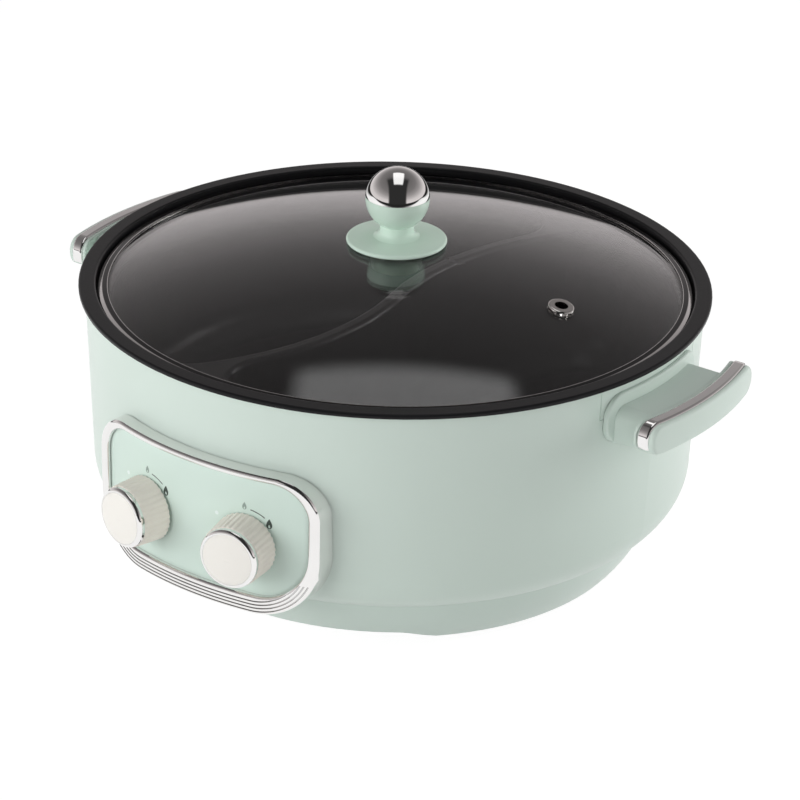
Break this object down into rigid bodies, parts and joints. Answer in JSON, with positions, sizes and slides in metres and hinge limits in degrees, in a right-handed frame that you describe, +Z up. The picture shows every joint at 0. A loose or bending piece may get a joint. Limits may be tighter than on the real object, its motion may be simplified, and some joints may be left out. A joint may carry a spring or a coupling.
{
  "type": "electric hot pot",
  "caption": "Round electric hot pot with a split lift-out pan, a domed glass lid with a ball knob, side handles and dials on a curved panel.",
  "frame": {"origin": "on the pot's vertical axis at table level, under the middle of the bounding box", "axes": "+Z up, -Y towards the user through the middle of the control panel, +X to the user's right through a side handle"},
  "size_m": [0.3982, 0.38, 0.2131],
  "materials": {
    "base_mint": "satin moulded plastic",
    "feet": "matt rubber",
    "screw_steel": "zinc-plated steel",
    "housing_mint": "smooth pale green plastic",
    "liner_metal": "pressed sheet",
    "nonstick": "black non-stick coating on cast aluminium",
    "heater_metal": "cast aluminium",
    "lid_glass": "clear tempered glass",
    "lid_steel": "rolled stainless steel",
    "knob_mint": "glossy pale green plastic",
    "knob_chrome": "plated plastic",
    "vent_steel": "polished eyelet",
    "trim_chrome": "plated plastic",
    "plate_mint": "satin pale green face",
    "panel_mint": "smooth pale green plastic",
    "board": "circuit board and control bodies",
    "dial_cream": "satin cream plastic",
    "dial_chrome": "plated plastic",
    "handle_mint": "smooth pale green plastic",
    "handle_chrome": "plated plastic",
    "inlet_plastic": "textured plastic",
    "pin_brass": "plated contact pins"
  },
  "bodies": {
    "housing": {"base_ring": "base_mint", "base_cover": "base_mint", "rubber_feet": "feet", "base_screws": "screw_steel", "outer_housing": "housing_mint", "inner_liner": "liner_metal", "heater_plate_right": "heater_metal", "heater_plate_left": "heater_metal", "heating_tubes": "screw_steel", "heater_posts": "screw_steel", "pan_sensors": "screw_steel", "limit_thermostats": "screw_steel", "panel_trim": "trim_chrome", "panel_plate": "plate_mint", "panel_housing": "panel_mint", "control_board": "board", "potentiometer_left": "board", "potentiometer_right": "board", "potentiometer_nut_left": "screw_steel", "potentiometer_nut_right": "screw_steel", "handle_plate_left": "handle_mint", "handle_plate_right": "handle_mint", "handle_left": "handle_mint", "handle_right": "handle_mint", "handle_strip_left": "handle_chrome", "handle_strip_right": "handle_chrome", "handle_screws": "screw_steel", "power_inlet": "inlet_plastic", "inlet_pins": "pin_brass"},
    "pan": {"pan": "nonstick"},
    "lid": {"lid_glass": "lid_glass", "lid_rim": "lid_steel", "knob_base": "knob_mint", "knob_cap": "knob_chrome", "knob_seat": "knob_mint", "knob_screw": "screw_steel", "steam_vent": "vent_steel"},
    "dial_left": {"dial_shaft_left": "screw_steel", "dial_skirt_left": "dial_cream", "dial_ring_left": "dial_chrome", "dial_cap_left": "dial_cream"},
    "dial_right": {"dial_shaft_right": "screw_steel", "dial_skirt_right": "dial_cream", "dial_ring_right": "dial_chrome", "dial_cap_right": "dial_cream"}
  },
  "joints": [
    {"name": "pan_lift", "type": "slide", "parent": "housing", "child": "pan", "axis": [0, 0, 1], "range_m": [0, 0.18]},
    {"name": "lid_lift", "type": "slide", "parent": "pan", "child": "lid", "axis": [0, 0, 1], "range_m": [0, 0.12]},
    {"name": "dial_turn_left", "type": "hinge", "parent": "housing", "child": "dial_left", "pos_m": [-0.03204, -0.16925, 0.0696], "axis": [0.1704, 0.9854, 0], "range_deg": [0, 90]},
    {"name": "dial_turn_right", "type": "hinge", "parent": "housing", "child": "dial_right", "pos_m": [0.03204, -0.16925, 0.0696], "axis": [-0.1704, 0.9854, 0], "range_deg": [0, 90]}
  ]
}
